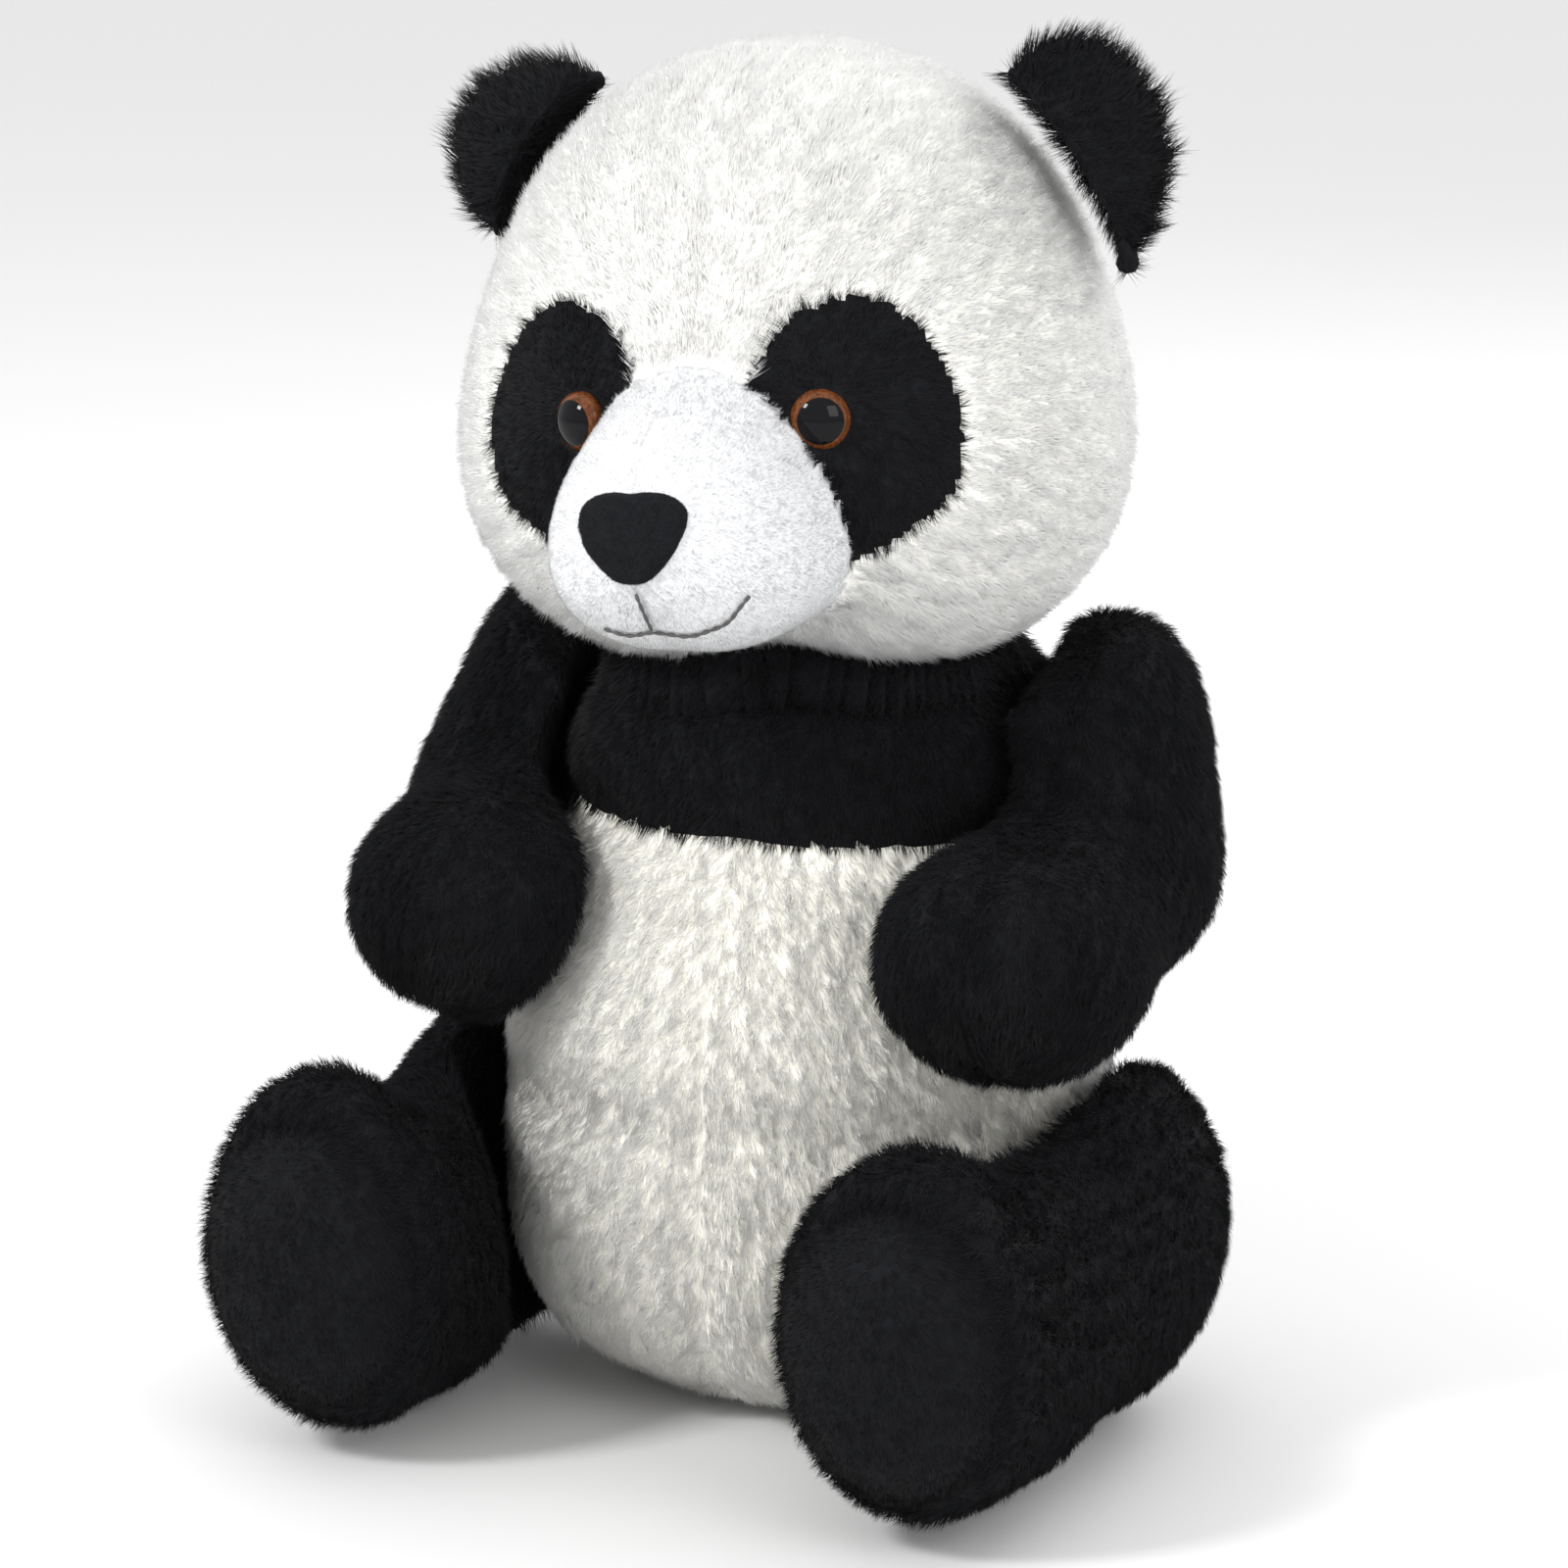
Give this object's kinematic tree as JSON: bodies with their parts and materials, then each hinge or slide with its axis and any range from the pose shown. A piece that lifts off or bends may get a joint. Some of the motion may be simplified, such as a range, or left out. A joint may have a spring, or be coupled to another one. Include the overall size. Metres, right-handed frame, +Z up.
{
  "type": "plush panda",
  "caption": "Seated stuffed toy bear in black and white plush, with a short-pile muzzle, safety eyes and limbs, ears and head that flex at their seams.",
  "frame": {"origin": "centre of the flat base that the panda sits on, under the middle of its body", "axes": "+Z up, the panda faces -Y and its own left side is on +X"},
  "size_m": [0.3006, 0.2688, 0.4556],
  "materials": {
    "white_fur": "matte",
    "black_fur": "matte",
    "muzzle_pile": "matte",
    "sole_plush": "matte",
    "nose_velvet": "matte",
    "thread": "satin",
    "eye_plastic": "gloss",
    "washer_plastic": "satin",
    "stuffing": "matte"
  },
  "bodies": {
    "torso": {"chest_band": "black_fur", "back_yoke": "black_fur", "seat_panel": "white_fur", "torso_stuffing": "stuffing", "belly_left": "white_fur", "back_left": "white_fur", "belly_right": "white_fur", "back_right": "white_fur"},
    "neck": {"neck_stuffing": "stuffing"},
    "head": {"head_back": "white_fur", "nose": "nose_velvet", "mouth_thread": "thread", "head_stuffing": "stuffing", "face_left": "white_fur", "eye_patch_left": "black_fur", "muzzle_left": "muzzle_pile", "eye_left": "eye_plastic", "eye_washer_left": "washer_plastic", "face_right": "white_fur", "eye_patch_right": "black_fur", "muzzle_right": "muzzle_pile", "eye_right": "eye_plastic", "eye_washer_right": "washer_plastic"},
    "ear_left": {"ear_front_left": "black_fur", "ear_back_left": "black_fur"},
    "arm_left": {"arm_outer_left": "black_fur", "arm_inner_left": "black_fur", "arm_stuffing_left": "stuffing"},
    "leg_left": {"leg_outer_left": "black_fur", "leg_inner_left": "black_fur", "foot_sole_left": "sole_plush", "leg_stuffing_left": "stuffing"},
    "ear_right": {"ear_front_right": "black_fur", "ear_back_right": "black_fur"},
    "arm_right": {"arm_outer_right": "black_fur", "arm_inner_right": "black_fur", "arm_stuffing_right": "stuffing"},
    "leg_right": {"leg_outer_right": "black_fur", "leg_inner_right": "black_fur", "foot_sole_right": "sole_plush", "leg_stuffing_right": "stuffing"}
  },
  "joints": [
    {"name": "neck_turn", "type": "hinge", "parent": "torso", "child": "neck", "pos_m": [0, 0.008, 0.248], "axis": [0, 0, 1], "range_deg": [-20, 20], "stiffness_Nm_per_rad": 0.8},
    {"name": "neck_nod", "type": "hinge", "parent": "neck", "child": "head", "pos_m": [0, 0.008, 0.248], "axis": [1, 0, 0], "range_deg": [-6, 5], "stiffness_Nm_per_rad": 4},
    {"name": "ear_flex_left", "type": "hinge", "parent": "head", "child": "ear_left", "pos_m": [0.07758, 0.01636, 0.39932], "axis": [-0.5894, -0.033, 0.8072], "range_deg": [-15, 15], "stiffness_Nm_per_rad": 0.1},
    {"name": "shoulder_left", "type": "hinge", "parent": "torso", "child": "arm_left", "pos_m": [0.08, 0.024, 0.221], "axis": [-1, 0, 0], "range_deg": [0, 15], "stiffness_Nm_per_rad": 0.8},
    {"name": "hip_left", "type": "hinge", "parent": "torso", "child": "leg_left", "pos_m": [0.088, 0.024, 0.06], "axis": [0, 0, 1], "range_deg": [-8, 8], "stiffness_Nm_per_rad": 0.8},
    {"name": "ear_flex_right", "type": "hinge", "parent": "head", "child": "ear_right", "pos_m": [-0.08235, 0.00741, 0.3967], "axis": [-0.555, -0.031, -0.8313], "range_deg": [-15, 15], "stiffness_Nm_per_rad": 0.1},
    {"name": "shoulder_right", "type": "hinge", "parent": "torso", "child": "arm_right", "pos_m": [-0.08, 0.024, 0.221], "axis": [-1, 0, 0], "range_deg": [0, 15], "stiffness_Nm_per_rad": 0.8},
    {"name": "hip_right", "type": "hinge", "parent": "torso", "child": "leg_right", "pos_m": [-0.088, 0.024, 0.06], "axis": [0, 0, -1], "range_deg": [-8, 8], "stiffness_Nm_per_rad": 0.8}
  ]
}
